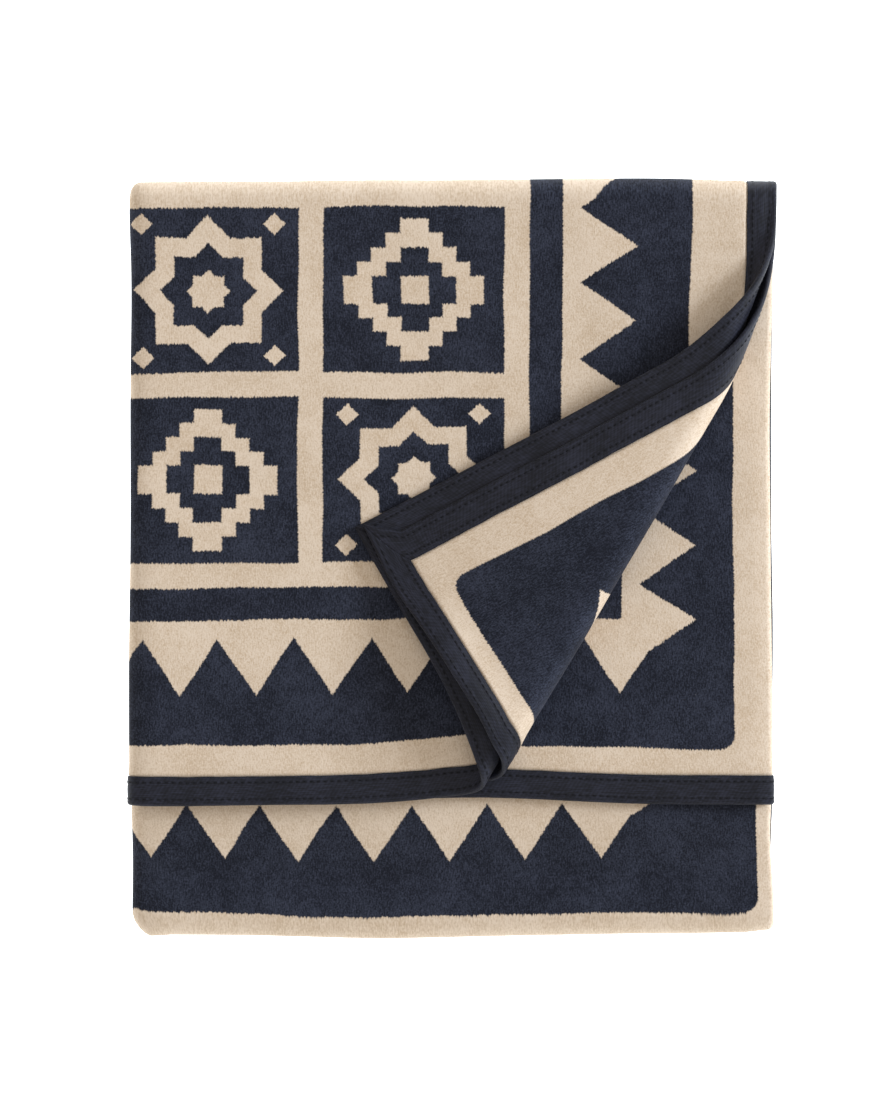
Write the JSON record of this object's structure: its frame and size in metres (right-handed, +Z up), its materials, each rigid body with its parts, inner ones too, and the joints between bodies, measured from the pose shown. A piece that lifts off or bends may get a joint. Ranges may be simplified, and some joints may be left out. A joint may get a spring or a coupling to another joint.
{
  "type": "folded basotho blanket",
  "caption": "Wool blanket with ribbon-bound edges, folded into a flat rectangular pad of stacked layers with one corner of its top sheets rolled back.",
  "frame": {"origin": "middle of the underside, on the surface that the blanket lies on", "axes": "+Z up out of the stack, +Y towards the back folds, +X towards the side of the turned corner"},
  "size_m": [0.394, 0.4606, 0.0805],
  "materials": {
    "wool": "brushed wool, cream and dark navy in two colours",
    "binding": "dark navy woven ribbon, slightly shiny"
  },
  "bodies": {
    "root": {"blanket_cloth": "wool", "binding_top_side": "binding", "binding_second_side": "binding", "binding_front_end": "binding", "binding_under_end": "binding"}
  },
  "joints": []
}
